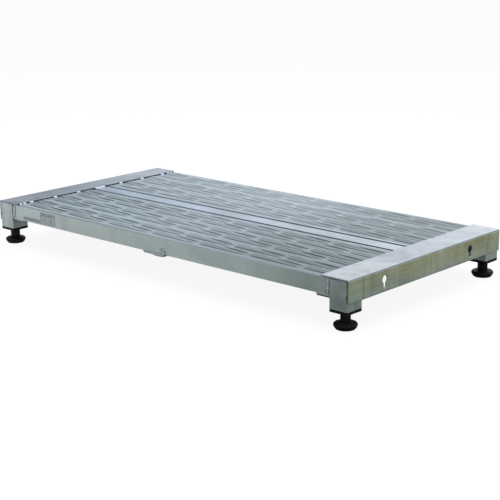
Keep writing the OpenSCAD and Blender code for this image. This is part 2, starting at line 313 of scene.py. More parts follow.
def aluminium(name, colour, grain, roughness=0.36, streak=0.16, cloud=0.12, relief=0.18, fineness=5,
              rounding=1.2 * MM, edge=0.5, edge_top=None, crease=0.5, extra=None):
    """Extruded or drawn aluminium. grain is the noise scale per axis, small along the extrusion.

    streak and cloud are how much the grain and large patches vary the tone, and crease how dark the painted
    shade in inner corners is; relief and fineness how strong and how fine the grain is. Edges, over the
    width rounding, are worn pale by edge, or carry painted shade above the height edge_top. extra(nodes,
    colour) may return a new colour."""
    n = Surface(name)
    lines = n.noise(grain, detail=fineness, roughness=0.65)
    bands = n.noise(tuple(0.25 * g for g in grain), detail=3)
    patches = n.noise((7, 9, 12), detail=4, roughness=0.6)
    edge_mask, rounded = n.edges(rounding)
    shade = n.times(n.remap(lines, *NOISE, 1 - 0.4 * streak, 1 + 0.4 * streak),
                    n.remap(bands, *NOISE, 1 - 0.6 * streak, 1 + 0.6 * streak),
                    n.remap(patches, 0.32, 0.68, 1 - cloud, 1 + 0.6 * cloud))
    made = n.tinted(colour, n.grey(shade))
    if extra:
        made = extra(n, made)
    # Painted shade: darker in inner corners, found by ambient occlusion
    creases = n.remap(n.occlusion(9 * MM), 0.25, 0.95, 1 - crease, 1.0)
    made = n.tinted(made, n.grey(creases))
    worn = n.times(edge_mask, n.remap(patches, 0.35, 0.6, 0.4, 1.0))
    if edge_top:
        # Painted shade, blue-grey, along the edges above edge_top
        above = n.remap(n.axes(n.place)[2], edge_top - 2.0 * MM, edge_top - 0.5 * MM)
        made = n.mix(n.times(edge_mask, above, 0.75), made, UPPER_EDGE_SHADE)
        worn = n.times(worn, n.rest_of(above))
    made = n.mix(n.times(worn, edge), made, WORN_EDGE)
    rough = n.math("ADD", n.remap(lines, *NOISE, -0.04, 0.04), n.remap(patches, *NOISE, -0.05, 0.07))
    n.feed("Base Color", made)
    n.feed("Roughness", n.math("ADD", rough, roughness, clamp=True))
    n.feed("Metallic", 1.0)
    n.feed("Normal", n.bump(lines, relief, 0.25 * MM, rounded))
    return n.material


def sunken_shade(top, levels, right_shade=0.0, faded=1.0, along=()):
    """Paints shade into a profile by depth, from levels of (depth below its top, colour multiplier).

    right_shade is how much painted shade darkens it towards its right end and its front; faded is how
    strong the painted shade still is along the back; along is how strong it is along X, as (distance, share)
    stops."""
    deepest = levels[-1][0]
    green, blue = 1.06, 1.05  # the painted shade is a little cold
    front_y, back_y = -0.28, 0.28

    def paint(n, colour):
        x, y, z = n.axes(n.place)
        stops = [(depth / deepest, (v, v * green, v * blue)) for depth, v in levels]
        # Painted shade, darker the deeper the surface lies
        shade = n.ramp(n.remap(z, top, top - deepest), stops)
        patch = n.times(n.remap(n.noise((5, 30, 30), detail=3), *NOISE, 0.85, 1.0),
                        n.remap(y, -0.06, 0.20, 1.0, faded))
        if along:
            patch = n.times(patch, n.spread(x, [(at, (share,) * 3) for at, share in along]))
        # Painted shade, darker towards the right end and the front
        painted_gradient = n.times(n.remap(x, -0.05, 0.45, 1.0, 1 - right_shade, smooth=True),
                       n.remap(y, front_y, back_y, 1 - 0.3 * right_shade, 1.0))
        colour = n.tinted(colour, n.grey(painted_gradient))
        return n.mix(patch, colour, n.tinted(colour, shade))
    return paint


def dusty_shaded_grooves(top, floor, shade_under):
    """Adds dry grey dusting with painted shade, darker towards the right end, below a profile's top, down to
    a groove's floor; shade_under is the painted shade under it.
    """
    def paint(n, colour):
        x, _, z = n.axes(n.place)
        # Dusting and painted shade, from a little below the top down to the groove's floor
        dust_and_shade = n.times(n.remap(z, top - 0.4 * MM, top - 1.2 * MM), n.remap(z, floor - 1 * MM, floor))
        n.feed("Metallic", n.rest_of(dust_and_shade))
        return n.mix(dust_and_shade, shade_under(n, colour), n.spread(x, DUST_AND_SHADE))
    return paint


def upright_stains(strength, reach=16):
    """Faint upright smears, as a fitter's hands and weld smoke leave on a web."""
    def paint(n, colour):
        smear = n.noise((reach, reach, 1.2), detail=4, roughness=0.6)
        return n.mix(n.remap(smear, 0.45, 0.70, 0.0, strength, smooth=True), colour, SMEAR)
    return paint


def rail_stains_and_shade(deck_top):
    """A side rail's marks: upright smears, and painted shade along its upper edge."""
    smears = upright_stains(0.16)

    def paint(n, colour):
        # Painted shade along the rail's upper edge
        dull = n.remap(n.axes(n.place)[2], deck_top - 1.6 * MM, deck_top - 0.4 * MM, 0.0, 0.8)
        return n.mix(dull, smears(n, colour), RAIL_EDGE_SHADE)
    return paint


def shaded_plate_foot(bottom, height):
    """Painted shade along a plate's lower edge, darkest at its foot."""
    def paint(n, colour):
        smoke = n.remap(n.axes(n.place)[2], bottom + height, bottom + 0.5 * height)
        return n.mix(n.times(smoke, 0.85), colour, PLATE_FOOT_SHADE)
    return paint


def beam_stains_and_shade(leg_y, edge_x, deck_top, corner):
    """An end beam's marks: upright smears, a flange dulled in the middle where people step and heat lines
    over the legs' inner corners; and painted shade on the flange's inner edge and along the outer bend, at
    corner."""
    smears = upright_stains(0.30, reach=30)

    def paint(n, colour):
        x, y, z = n.axes(n.place)
        out_x, out_y = n.size_of(x), n.size_of(y)
        colour = smears(n, colour)

        stepped = n.times(n.remap(out_y, 0.05, 0.20, 1.0, 0.0, smooth=True),
                          n.remap(z, deck_top, deck_top + 1 * MM))
        colour = n.mix(stepped, colour, n.tinted(colour, STEPPED_ON))

        wander = n.times(n.math("SUBTRACT", n.noise((1, 1, 40)), 0.5), 5 * MM)
        off_leg = n.size_of(n.math("SUBTRACT", n.math("ADD", out_y, wander), leg_y))
        heat = n.times(n.remap(off_leg, 6 * MM, 1.5 * MM, 0.0, 0.40, smooth=True),
                       n.remap(z, deck_top + 2 * MM, deck_top))
        colour = n.mix(heat, colour, HEAT_LINE)

        # Painted shade on the flange's inner edge face, over its step onto the deck
        cut = n.times(n.remap(out_x, edge_x + 0.5 * MM, edge_x + 0.2 * MM),
                      n.remap(z, deck_top + 2.9 * MM, deck_top + 2.4 * MM), 0.92)
        colour = n.mix(cut, colour, INNER_EDGE_SHADE)

        # Painted shade along the outer bend, matt so that the lamps light it
        bend = n.times(n.remap(out_x, corner.x - 2.6 * MM, corner.x - 1.6 * MM, 0.0, 0.9),
                       n.remap(z, corner.z - 3.8 * MM, corner.z - 2.6 * MM))
        n.feed("Metallic", n.rest_of(bend))
        return n.mix(bend, colour, BEND_SHADE)
    return paint


def weld_metal(name, bright, dull, metallic=1.0):
    """Weld beads, in patches of bright and dull metal, with weld smoke and painted shade in the creases."""
    n = Surface(name)
    ripples = n.noise((900,) * 3, detail=3)
    patches = n.noise((160,) * 3, detail=3)
    made = n.mix(n.remap(patches, 0.35, 0.7), bright, dull)
    # Weld smoke and painted shade, darker where ambient occlusion finds a crease
    made = n.mix(n.remap(n.occlusion(4 * MM), 0.9, 0.3, 0.0, 0.55), made, WELD_SMOKE_AND_SHADE)
    n.feed("Base Color", made)
    n.feed("Metallic", metallic)
    n.feed("Roughness", n.remap(ripples, *NOISE, 0.22, 0.42))
    n.feed("Normal", n.bump(ripples, 0.35, 0.2 * MM))
    return n.material


def zinc():
    """Zinc-plated steel for studs and nuts."""
    n = Surface("zinc_steel")
    mottled = n.noise((240,) * 3, detail=4)
    made = n.mix(n.remap(mottled, 0.35, 0.65), ZINC_PALE, ZINC_DARK)
    edge_mask, rounded = n.edges(0.5 * MM)
    made = n.mix(n.times(edge_mask, 0.4), made, ZINC_EDGE)
    n.feed("Base Color", made)
    n.feed("Metallic", 1.0)
    n.feed("Roughness", n.remap(mottled, *NOISE, 0.26, 0.44))
    n.feed("Normal", n.bump(mottled, 0.12, 0.1 * MM, rounded))
    return n.material


# -------------------------------- plastic, rubber and labels

SCUFF = (0.16, 0.16, 0.16)
RUBBED_FOIL = (0.46, 0.50, 0.50)


def moulded(name, colour, scuffed, roughness, grain=1400.0, bump=0.25):
    """Moulded plastic or rubber: fine pebble grain, duller patches and pale scuffs on the edges."""
    n = Surface(name)
    pebbles = n.noise((grain,) * 3, detail=2)
    patches = n.noise((60,) * 3, detail=4, roughness=0.6)
    scratches = n.noise((90, 90, 700), detail=4, distortion=1.2)
    edge_mask, rounded = n.edges(0.8 * MM)
    made = n.mix(n.remap(patches, 0.35, 0.7), colour, scuffed)
    made = n.mix(n.times(edge_mask, n.remap(scratches, 0.42, 0.62), 0.35), made, SCUFF)
    n.feed("Base Color", made)
    n.feed("Roughness", n.remap(patches, *NOISE, roughness - 0.08, roughness + 0.1))
    n.feed("Specular IOR Level", 0.22)
    n.feed("Normal", n.bump(pebbles, bump, 0.15 * MM, rounded))
    return n.material


def box_mask(n, x0, x1, z0, z1, soft=0.3 * MM):
    """1 inside a rectangle of the label's face and 0 outside it."""
    x, _, z = n.axes(n.place)
    return n.times(n.remap(x, x0 - soft, x0 + soft), n.remap(x, x1 + soft, x1 - soft),
                   n.remap(z, z0 - soft, z0 + soft), n.remap(z, z1 + soft, z1 - soft))


def label_film(name, ground, finish):
    """Printed foil. finish(nodes, colour) adds the printed areas."""
    n = Surface(name)
    rubbed = n.noise((50, 50, 160), detail=4, roughness=0.65)
    made = n.mix(n.remap(rubbed, 0.45, 0.75, 0.0, 0.35), ground, RUBBED_FOIL)
    made = finish(n, made)
    n.feed("Base Color", made)
    n.feed("Metallic", 0.25)
    n.feed("Roughness", n.remap(rubbed, *NOISE, 0.34, 0.52))
    n.feed("Normal", n.bump(rubbed, 0.1, 0.1 * MM))
    return n.material


# -------------------------------- camera, stage and light

CAMERA_PLACE = (2.15450, -2.25997, 0.85157)
CAMERA_ANGLES = (42.941, 14.920, -0.742)  # azimuth, elevation and roll, in degrees
LENS, SENSOR = 90.535, 36.0  # millimetres


def make_camera():
    """A long lens from the front right, a little above the deck."""
    azimuth, elevation, roll = (math.radians(a) for a in CAMERA_ANGLES)
    back = Vector((math.sin(azimuth) * math.cos(elevation), -math.cos(azimuth) * math.cos(elevation),
                   math.sin(elevation)))
    right = (-back).cross(Vector((0, 0, 1))).normalized()
    up = right.cross(-back)
    turned_right = math.cos(roll) * right + math.sin(roll) * up
    turned_up = -math.sin(roll) * right + math.cos(roll) * up
    data = bpy.data.cameras.new("camera")
    data.sensor_width = SENSOR
    data.lens = LENS
    data.clip_start, data.clip_end = 0.1, 100.0
    cam = bpy.data.objects.new("camera", data)
    cam.matrix_world = Matrix((turned_right, turned_up, back)).transposed().to_4x4()
    cam.location = CAMERA_PLACE
    bpy.context.scene.collection.objects.link(cam)
    bpy.context.scene.camera = cam


FLOOR_RADIUS = 40.0
FLOOR_PALE = (0.93, 0.93, 0.93)
FLOOR_GLOW = 0.91  # how much of its brightness is its own, as the camera sees it
MIRROR_GLOW = 0.45  # and as the metal mirrors it

# What the metal's upright faces mirror of the floor: (distance along X, colour)
BOUNCE = (
    (-0.90, (0.586, 0.626, 0.626)), (-0.55, (0.452, 0.491, 0.471)), (-0.15, (0.366, 0.411, 0.392)),
    (0.18, (0.309, 0.372, 0.344)), (0.36, (0.144, 0.172, 0.154)), (0.70, (0.189, 0.235, 0.217)),
    (0.82, (0.240, 0.238, 0.112)), (1.20, (0.32, 0.30, 0.15)),
)
# How much of that is left, dimmer and greener towards the front: (distance along Y, share)
BOUNCE_DIM = (
    (-0.30, (0.84, 0.84, 0.84)), (-0.03, (0.76, 0.82, 0.90)), (0.10, (0.86, 0.93, 0.98)),
    (0.24, (1.02, 1.00, 1.02)), (0.44, (0.97, 0.96, 0.96)),
)


def make_floor():
    """A large pale floor with faint shadows. What the metal mirrors of it is dimmer, by BOUNCE."""
    sides = 96
    turns = [2 * math.pi * i / sides for i in range(sides)]
    rim = [(FLOOR_RADIUS * math.cos(a), FLOOR_RADIUS * math.sin(a), 0.0) for a in turns]
    mesh = bpy.data.meshes.new("floor")
    mesh.from_pydata(rim, [], [tuple(range(sides))])
    floor = bpy.data.objects.new("floor", mesh)
    bpy.context.scene.collection.objects.link(floor)
    n = Surface("studio_floor")
    mottled = n.remap(n.noise((0.8,) * 3, detail=4), *NOISE)
    pale = n.mix(mottled, FLOOR_PALE, tuple(0.985 * c for c in FLOOR_PALE))
    pale = n.tinted(pale, (1 - FLOOR_GLOW,) * 3)
    x, y, _ = n.axes(n.place)
    bounce = n.tinted(n.spread(x, BOUNCE), n.spread(y, BOUNCE_DIM))
    dimmed = n.tinted(bounce, (1 - MIRROR_GLOW,) * 3)
    seen = n.camera_ray()
    n.feed("Base Color", n.mix(seen, dimmed, pale))
    n.feed("Emission Color", n.mix(seen, bounce, (1.0, 1.0, 1.0)))
    n.feed("Emission Strength", n.remap(seen, 0.0, 1.0, MIRROR_GLOW, FLOOR_GLOW))
    n.feed("Roughness", 0.9)
    n.feed("Specular IOR Level", 0.0)
    mesh.materials.append(n.material)


# How bright the room is round the compass: (degrees from +X towards +Y, strength)
ROOM = (
    (-180, 0.22), (-150, 0.36), (-90, 0.42), (0, 0.60), (50, 0.90), (80, 1.10), (108, 1.10), (120, 1.04),
    (126, 0.85), (132, 0.79), (137, 0.76), (141, 0.52), (145, 0.24), (152, 0.20), (180, 0.22),
)
COOL_FROM = 135  # degrees past which the room is tinted COOL
COOL = (0.93, 1.0, 1.07)
OVERHEAD = (0.8, 0.8, 0.8)
OVERHEAD_RISE = (0.5, 0.95)  # heights of a direction at which the room gives way to what is overhead
ROOM_TINT = (0.90, 0.95, 1.03)
BACKDROP = (1.0, 1.0, 1.0)


def make_world():
    """A soft white room, bright behind the bench and dim on its left, before a plain pale backdrop."""
    world = bpy.data.worlds.new("room")
    bpy.context.scene.world = world
    world.use_nodes = True
    n = Nodes(world.node_tree)
    x, y, z = n.axes(n.node("TexCoord").outputs["Generated"])
    heading = n.remap(n.math("ARCTAN2", y, x), -math.pi, math.pi)
    stops = []
    for degrees, strength in ROOM:
        tint = COOL if degrees > COOL_FROM else (1, 1, 1)
        stops.append(((degrees + 180) / 360, tuple(strength * c for c in tint)))
    room = n.mix(n.remap(z, *OVERHEAD_RISE), n.ramp(heading, stops), OVERHEAD)
    back = n.node("Background")
    n.link(n.mix(n.camera_ray(), n.tinted(room, ROOM_TINT), BACKDROP), back.inputs["Color"])
    n.link(back.outputs[0], n.node("OutputWorld").inputs[0])


# (name, place, the point it looks at, its side in metres, watts)
LIGHTS = (
    ("softbox_top", (0.2, 0.3, 3.6), (0, 0, 0), 3.4, 110),
    ("softbox_front", (2.6, -3.4, 2.4), (0, 0, 0.1), 2.2, 25),
    ("softbox_left", (-3.6, -1.2, 1.6), (0, 0, 0.1), 1.8, 18),
)


def make_lights():
    """Three softboxes, which the metal doesn't mirror."""
    for name, place, target, size, power in LIGHTS:
        data = bpy.data.lights.new(name, "AREA")
        data.shape = "SQUARE"
        data.size = size
        data.energy = power
        light = bpy.data.objects.new(name, data)
        light.location = place
        light.rotation_mode = "QUATERNION"
        light.rotation_quaternion = (Vector(target) - Vector(place)).to_track_quat("-Z", "Y")
        light.visible_glossy = False
        bpy.context.scene.collection.objects.link(light)
    bpy.context.scene.view_settings.view_transform = "Standard"


# -------------------------------- deck planks

TREAD_DEPTH = 1.2 * MM
PAD_SINK = 0.4 * MM
TREAD_PERIOD = 160 * MM
BAND = 8.5 * MM  # the plain edges of a plank
RIDGE = 6 * MM  # the plain middle between its two tread rows
ROW_WALL = 0.045  # share of a row over which its sides slope

# The saddles between sunken pads
SADDLE = (4 * MM, 16 * MM)  # half the width and the slope
SADDLE_START = 202 * MM
SADDLE_SLANT = 14 * MM  # how far one leans across a row
SADDLE_RISE = 0.7  # how nearly flush it is

# Paths across a row, as (share of the way from its +Y edge, distance along X from the saddle),
# and half the width and the slope of what follows them, as shares of the row
RIB_PATH = ((0.0, 46 * MM), (0.20, 72 * MM), (0.43, 92 * MM), (0.87, 142 * MM), (1.0, 186 * MM))
RIB = (0.03, 0.06)
GROOVE_PATH = (
    (0.0, 82 * MM), (0.10, 104 * MM), (0.20, 130 * MM), (0.32, 157 * MM), (0.74, 176 * MM),
    (0.81, 210 * MM), (0.87, 255 * MM), (0.93, 300 * MM), (1.0, 322 * MM),
)
GROOVE = (0.06, 0.07)
GROOVE_BREAK = (0.54, 0.13, 0.14)  # where a groove stops in mid row: the middle, half the gap and its slope


def across(path, along):
    """The shares at which a path's two nearest repeats cross each distance along X."""
    shares, distances = zip(*path)
    start = (along - distances[0]) % TREAD_PERIOD + distances[0]
    return [np.interp(start + k * TREAD_PERIOD, distances, shares, left=-9, right=9) for k in (0, 1)]


def hump(value, half_width, soft):
    """1 within half_width of 0, falling to 0 over soft."""
    t = np.clip((half_width + soft - np.abs(value)) / soft, 0, 1)
    return t * t * (3 - 2 * t)


def tread_height(along, share):
    """Height in a tread row: long S-shaped grooves between sunken pads, narrow ribs and flush saddles."""
    saddle = (along - SADDLE_SLANT * (share - 0.5) + TREAD_PERIOD / 2) % TREAD_PERIOD - TREAD_PERIOD / 2
    flush = SADDLE_RISE * hump(saddle, *SADDLE)
    for crossing in across(RIB_PATH, along):
        flush = np.maximum(flush, hump(share - crossing, *RIB))
    groove = np.zeros_like(share)
    middle, gap, slope = GROOVE_BREAK
    for crossing in across(GROOVE_PATH, along):
        depth = np.clip((np.abs(crossing - middle) - gap) / slope, 0, 1)
        groove = np.maximum(groove, depth * hump(share - crossing, *GROOVE))
    height = -PAD_SINK * (1 - flush)
    return height + (-TREAD_DEPTH - height) * groove


def plank_mesh(low, high):
    """One plank between two corners: the CAD section swept along X, with treads in its two rows."""
    middle = (low.y + high.y) / 2
    half = (high.y - low.y) / 2
    web, foot, foot_height, skin, chamfer = (v * MM for v in (2.2, 8, 2, 3.8, 0.6))
    under = low.z - high.z
    row_points, columns = 28, 240
    xs = np.linspace(low.x, high.x, columns + 1)
    lines = [(half, -chamfer), (half - chamfer, 0)]
    for side, start, end in ((0, half - BAND, RIDGE / 2), (1, -RIDGE / 2, BAND - half)):
        shift = SADDLE_START + side * TREAD_PERIOD / 2
        lines.append((start, 0))
        for i in range(1, row_points):
            share = np.full(columns + 1, i / row_points)
            wall = smooth_step(min(share[0], 1 - share[0]) / ROW_WALL)
            lines.append((start + (end - start) * share[0], tread_height(xs - shift, share) * wall))
        lines.append((end, 0))
    lines += [(-half + chamfer, 0), (-half, -chamfer)]
    left_web = [(-half, under), (-half + foot, under), (-half + foot, under + foot_height),
                (-half + web, under + foot_height), (-half + web, -skin), (-web / 2, -skin),
                (-web / 2, under + foot_height), (-foot / 2, under + foot_height), (-foot / 2, under)]
    lines += left_web + [(-y, z) for y, z in reversed(left_web)]
    heights = [np.broadcast_to(z, xs.shape) for _, z in lines]
    rings = []
    for k, x in enumerate(xs):
        rings.append([(x, middle + y, high.z + z[k]) for (y, _), z in zip(lines, heights)])
    return loft(rings)


def make_planks(material):
    """The six treaded planks."""
    for side in SIDES:
        for i in (1, 2, 3):
            node = f"deck_plank_{side}_{i}"
            verts, faces = plank_mesh(*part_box(node))
            piece = new_piece(f"treaded_plank_{side}_{i}", verts, faces, material, "frame",
                              smooth_angle=40)
            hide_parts(node)


# -------------------------------- weld beads

# Shares of a bead's radius
RIPPLE = 0.12  # how far each ripple swells
WOBBLE = 0.10  # how much the ripples differ, either way
BLUNT_TIP = 0.06  # what is left at its ends

# Weld sizes, in millimetres
PLANK_TACK = (13, 3.0)  # length and radius
STRIP_TACK = (36, 3.2)
RAIL_TACKS = ((3.5, 8, 3.0), (16, 10, 3.0))  # (in from the rail, length, radius)
TACK_SEAT = (1.2, 0.4)  # how far a tack stands off the flange's edge and sinks into the deck
RAIL_BEAD = (4.4, 3.8)  # radius, and how deep it sits
RAIL_BEAD_LEANS = (4.4, 5.6, 5.0)  # how far it stands off the leg at its foot, middle and top
RAIL_SMOKE = ((0.8, 1.7, 1.3), (10.2, 3.6, 1.1))  # (off the leg, how deep it sits, radius)
LEFT_SMOKE = 0.6  # share of that radius on the left legs
GUSSET_BEAD = (1.5, 4.3)  # radius, and how deep it sits
BRACE_BEAD = (1.6, 1.2)  # radius, and how far below the rail it sits
# The bead under each rail: (distance along X, height over the rail's lower edge), then an arc up its face
HOOK_RUN = [(-35, 0.6), (-24, -0.6), (-12, -1.6), (0, -2.4), (12, -2.8), (24, -2.6)]
HOOK_ARC = (31.5, 5.2, 7.2, -95, 165, 24)  # its middle, radius, first and last angle, and steps
HOOK_ENDS = (0.35, 0.65)  # the bead's size at its start and its end, as a share of its radius
HOOK_TAPER = 10  # the last points over which it thins
HOOK_METAL, HOOK_SHADOW = (3.2, 0.66, 0.2), (4.0, 0.24, 0.0)  # radius, flatness, and how deep it sits; the second is a wider dark bead, a painted shadow round the first
SEAM_DEPTH = 0.3
CRATER = (9, 7, 2.6, 1.3)  # off the leg's middle, down from its top, length and radius


def bead(path, radius, up, seed, pitch=None, flat=0.8, swell=None):
    """A rippled weld bead along a list of points. up points out of the joint; ends are rounded off.

    pitch is the ripples' length, flat the bead's height as a share of its width, and swell its size at
    each point as a share of radius."""
    rng = random.Random(seed)
    points = [Vector(p) for p in path]
    lengths = [0.0]
    for a, b in zip(points, points[1:]):
        lengths.append(lengths[-1] + (b - a).length)
    total = lengths[-1]
    pitch = pitch or radius * 0.75
    steps = max(8, int(total / (pitch / 4)))
    sides = 14
    turns = [2 * math.pi * i / sides for i in range(sides)]
    rings = []
    wobble = [rng.uniform(-WOBBLE, WOBBLE) for _ in range(int(total / pitch) + 3)]
    for k in range(steps + 1):
        s = total * k / steps
        seg = max(i for i, length in enumerate(lengths[:-1]) if length <= s + 1e-9)
        t = (s - lengths[seg]) / max(1e-9, lengths[seg + 1] - lengths[seg])
        at = points[seg].lerp(points[seg + 1], t)
        along = (points[seg + 1] - points[seg]).normalized()
        if seg + 2 < len(points):
            ahead = (points[seg + 2] - points[seg + 1]).normalized()
            along = along.lerp(ahead, smooth_step(t) * 0.5).normalized()
        out = (up - along * up.dot(along)).normalized()
        side = along.cross(out)
        ripple = RIPPLE * (1 - ((s / pitch) % 1.0)) + wobble[int(s / pitch)]
        end = min(s, total - s) / radius
        taper = math.sqrt(max(0.0, 1 - (1 - min(1.0, end)) ** 2)) if end < 1 else 1.0
        share = swell[seg] + (swell[seg + 1] - swell[seg]) * t if swell else 1.0
        r = radius * share * (1 + ripple) * max(BLUNT_TIP, taper)
        rings.append([at + (side * math.cos(a) + out * math.sin(a) * flat) * r for a in turns])
    return loft(rings)


def weld_piece(name, shell, material, node=None):
    """A piece of welds, which may replace a node."""
    piece = new_piece(name, shell.verts, shell.faces, material, "frame", smooth_angle=50)
    if node:
        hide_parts(node)


def make_deck_welds(material):
    """A blob on each plank along both flanges' inner edges, and a long bead on the centre strip."""
    low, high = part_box("deck_welds")
    shell = Shell()
    middles = []
    for side in SIDES:
        for i in (1, 2, 3):
            plank_low, plank_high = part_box(f"deck_plank_{side}_{i}")
            middles.append((plank_low.y + plank_high.y) / 2)
    # (middle along Y, length, radius)
    spots = [(y, *PLANK_TACK) for y in middles] + [(0.0, *STRIP_TACK)]
    for rail in (low.y, high.y):
        inward = -1 if rail > 0 else 1
        spots += [(rail + inward * off * MM, length, radius) for off, length, radius in RAIL_TACKS]
    stand, sunk = (v * MM for v in TACK_SEAT)
    z = low.z - sunk
    seed = 11
    for end in ENDS:
        beam_low, beam_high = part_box(f"end_beam_{end}")
        inner, toward = (beam_high.x, 1) if end == "left" else (beam_low.x, -1)
        up = Vector((toward * 0.8, 0, 1)).normalized()
        x = inner + toward * stand
        for y, length, radius in spots:
            seed += 1
            path = [(x, y - length * MM / 2, z), (x, y + length * MM / 2, z)]
            shell.add(*bead(path, radius * MM, up, seed, pitch=2.4 * MM))
    weld_piece("deck_weld_beads", shell, material, "deck_welds")


def make_frame_welds(material, smoked):
    """Upright beads that fill the step between each rail's end and its leg, with smoke both sides."""
    shell, smoke = Shell(), Shell()
    low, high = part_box("frame_welds")
    bead_radius, bead_depth = (v * MM for v in RAIL_BEAD)
    gusset_radius, gusset_depth = (v * MM for v in GUSSET_BEAD)
    seed = 60
    for corner in CORNERS:
        leg_low, leg_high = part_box(f"leg_tube_{corner}")
        sx = 1 if leg_low.x > 0 else -1
        sy = 1 if leg_low.y > 0 else -1
        step = leg_low.x if sx > 0 else leg_high.x
        out = Vector((0, sy, 0))

        seed += 1
        heights = (low.z - 3 * MM, (low.z + high.z) / 2, high.z + 5 * MM)
        path = [(step - sx * off * MM, sy * (high.y - bead_depth), z)
                for off, z in zip(RAIL_BEAD_LEANS, heights)]
        shell.add(*bead(path, bead_radius, out, seed, pitch=3.6 * MM, flat=0.7))

        soot = 1.0 if sx > 0 else LEFT_SMOKE
        foot, height = low.z - 2 * MM, high.z - low.z + 5 * MM
        for off, depth, size in RAIL_SMOKE:
            seed += 1
            path = [(step - sx * (off + 0.5 * math.sin(seed * k)) * MM, sy * (high.y - depth * MM),
                     foot + height * k / 4) for k in range(5)]
            smoke.add(*bead(path, soot * size * MM, out, seed, pitch=1.5 * MM))

        gusset_low, gusset_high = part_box(f"corner_gusset_{corner}")
        far = gusset_low.x if sx > 0 else gusset_high.x
        y = sy * (high.y - gusset_depth)
        ends = [(far + sx * 3 * MM, y, gusset_high.z), (step - sx * 1 * MM, y, gusset_high.z)]
        shell.add(*bead(ends, gusset_radius, out, seed + 300, pitch=1.6 * MM))
    weld_piece("rail_weld_beads", shell, material, "frame_welds")
    weld_piece("rail_weld_smoke", smoke, smoked)


def make_brace_welds(material, smoked):
    """Under each rail, a bead that grows along the cross member's end and hooks up the rail's face, outlined
    by a wider dark bead that is a painted shadow.
    """
    low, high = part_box("brace_welds")
    middle = (low.x + high.x) / 2
    face, foot = high.y, high.z
    hook = arc(*HOOK_ARC)
    start, end = HOOK_ENDS
    steps = len(HOOK_RUN) - 1
    sizes = [start + (1 - start) * smooth_step(i / steps) for i in range(len(HOOK_RUN))]
    sizes += [end + (1 - end) * smooth_step((len(hook) - 1 - i) / HOOK_TAPER) for i in range(len(hook))]
    bead_radius, drop = (v * MM for v in BRACE_BEAD)
    shell, smoke = Shell(), Shell()
    for sy, seed in ((-1, 81), (1, 82)):
        out = Vector((0, sy, 0))
        # The hook's metal bead, and behind it a wider dark bead as its painted shadow
        for target, (radius, flat, sunk) in ((shell, HOOK_METAL), (smoke, HOOK_SHADOW)):
            path = [(middle - sy * x * MM, sy * (face - sunk * MM), foot + z * MM)
                    for x, z in HOOK_RUN + hook]
            target.add(*bead(path, radius * MM, out, seed, pitch=2.4 * MM, flat=flat, swell=sizes))
        y, z = sy * (face - bead_radius), foot - drop
        down = Vector((0, sy, -1)).normalized()
        shell.add(*bead([(low.x, y, z), (high.x, y, z)], bead_radius, down, seed + 5, pitch=2.2 * MM))
    weld_piece("brace_weld_beads", shell, material, "brace_welds")
    weld_piece("brace_weld_shadow", smoke, smoked)


def make_seams(material):
    """Thin smoked beads where each end beam meets a leg's outer face, and a crater on one leg."""
    shell = Shell()
    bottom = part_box("end_beam_right")[0].z + 1 * MM
    seed = 120
    for corner in CORNERS:
        low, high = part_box(f"leg_tube_{corner}")
        sx = 1 if low.x > 0 else -1
        sy = 1 if low.y > 0 else -1
        face = sy * (max(abs(low.y), abs(high.y)) - SEAM_DEPTH * MM)
        outer = sx * max(abs(low.x), abs(high.x))
        inner = sx * min(abs(low.x), abs(high.x))
        top = high.z
        # The web's seam, a lump near its foot and the flange's seam: (points, radius in millimetres),
        # a point being (in from the outer edge in millimetres, height)
        runs = (
            (((1.5, bottom), (0.8, (bottom + top) / 2), (1.6, top)), 1.4),
            (((2.5, bottom + 9 * MM), (1.0, bottom + 17 * MM)), 2.4),
            (((0.0, top), (abs(outer - inner) / MM, top - 0.6 * MM)), 1.2),
        )
        for points, radius in runs:
            seed += 1
            path = [(outer - sx * inset * MM, face, z) for inset, z in points]
            shell.add(*bead(path, radius * MM, Vector((0, sy, 0)), seed, pitch=1.5 * MM, flat=0.5))
    low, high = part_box("leg_tube_front_left")
    off, down, length, radius = (v * MM for v in CRATER)
    x, y, z = (low.x + high.x) / 2 + off, low.y, high.z - down
    shell.add(*bead([(x, y, z), (x + length, y, z)], radius, Vector((0, -1, 0)), 199, flat=0.5))
    weld_piece("smoked_seam_beads", shell, material)


# -------------------------------- screw feet

HUB_TURN = {"front_left": -12, "front_right": 13, "back_left": 20, "back_right": 20}  # degrees
HUB_FLATS = 22.5 * MM
HUB_CHAMFER = 0.9 * MM
HUB_WAIST = 0.25 * MM
HUB_CORNER = 1.2 * MM  # half the width of its blunted corners
HUB_BLUNT = 0.35 * HUB_CORNER
STUD_RADIUS = 7.95 * MM
THREAD_PITCH = 2 * MM
THREAD_DEPTH = 0.9 * MM
THREAD_FORM = (1.35, 3.2)  # its height at the crest's middle, cut off at 1, and its fall over a pitch
THREAD_START = 3 * MM  # how far the thread runs down into the hub
PAD_ROLL = 5 * MM

# Outlines in millimetres, from the middle out or from the rim in
PAD_SIDE = ((3.6, 0), (2.6, 0.7), (1.2, 3.6), (0.3, 5.2))  # (in from the rim, up from the base)
# (in from the rim, down from the top)
PAD_TOP = ((7.2, 1.3), (7.8, 2.2), (9.4, 2.2), (10.2, 0.6), (11.2, 0))
PAD_SHOULDER = 1.5  # how far the rim's roll stays below the top
# (in from the edge, up from the floor)
SOLE_RINGS = (
    (12.8, 0.6), (11.9, 0), (7.9, 0), (7.3, 0.6), (5.5, 0.6), (4.8, 0), (1.1, 0), (0.3, 0.4), (0, 1.2),
)
STUD_HEAD = ((-0.6, 0), (0, 0.6), (0, 3.8), (-0.5, 4.4))  # (out from the head's edge, up from its face)
NECK_INSET = 1.0
CORE_INSET = 0.6


